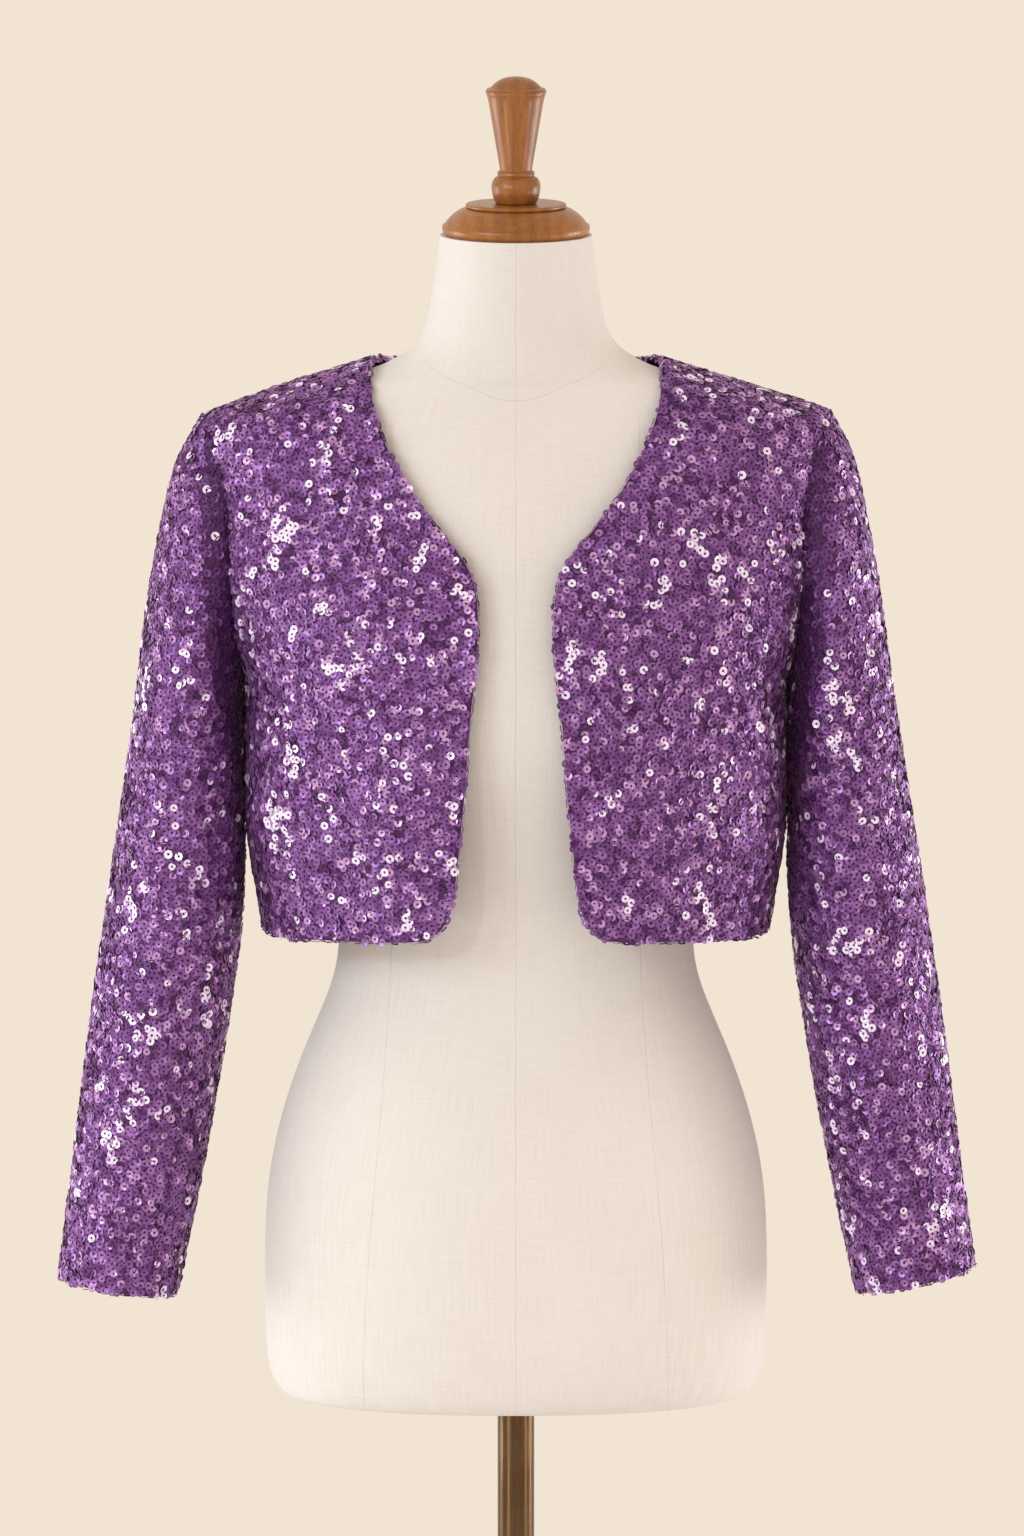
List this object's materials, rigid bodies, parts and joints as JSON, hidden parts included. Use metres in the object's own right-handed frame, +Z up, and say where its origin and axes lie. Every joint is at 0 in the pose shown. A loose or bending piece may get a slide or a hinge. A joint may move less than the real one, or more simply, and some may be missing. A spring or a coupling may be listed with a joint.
{
  "type": "bolero jacket on a dress form",
  "caption": "Cropped open-front jacket of sequin cloth with a V neck and long set-in sleeves, worn by a linen dress form with a turned wooden cap on a pole stand.",
  "frame": {"origin": "centre of the underside of the stand's round foot, on the floor", "axes": "+Z up along the pole, the front faces -Y, +X is towards the wearer's left"},
  "size_m": [0.6238, 0.34, 1.5396],
  "materials": {
    "sequin_cloth": "closely sewn cupped sequins on net",
    "linen": "fine plain weave, stretched smooth",
    "turned_wood": "reddish brown, glossy varnish",
    "dark_bronze": "dark bronze satin"
  },
  "bodies": {
    "root": {"front_left": "sequin_cloth", "front_right": "sequin_cloth", "back": "sequin_cloth", "sleeve_left": "sequin_cloth", "sleeve_right": "sequin_cloth", "form_torso": "linen", "neck_cap": "turned_wood", "finial": "turned_wood", "stand_pole": "dark_bronze", "stand_foot": "dark_bronze"}
  },
  "joints": []
}
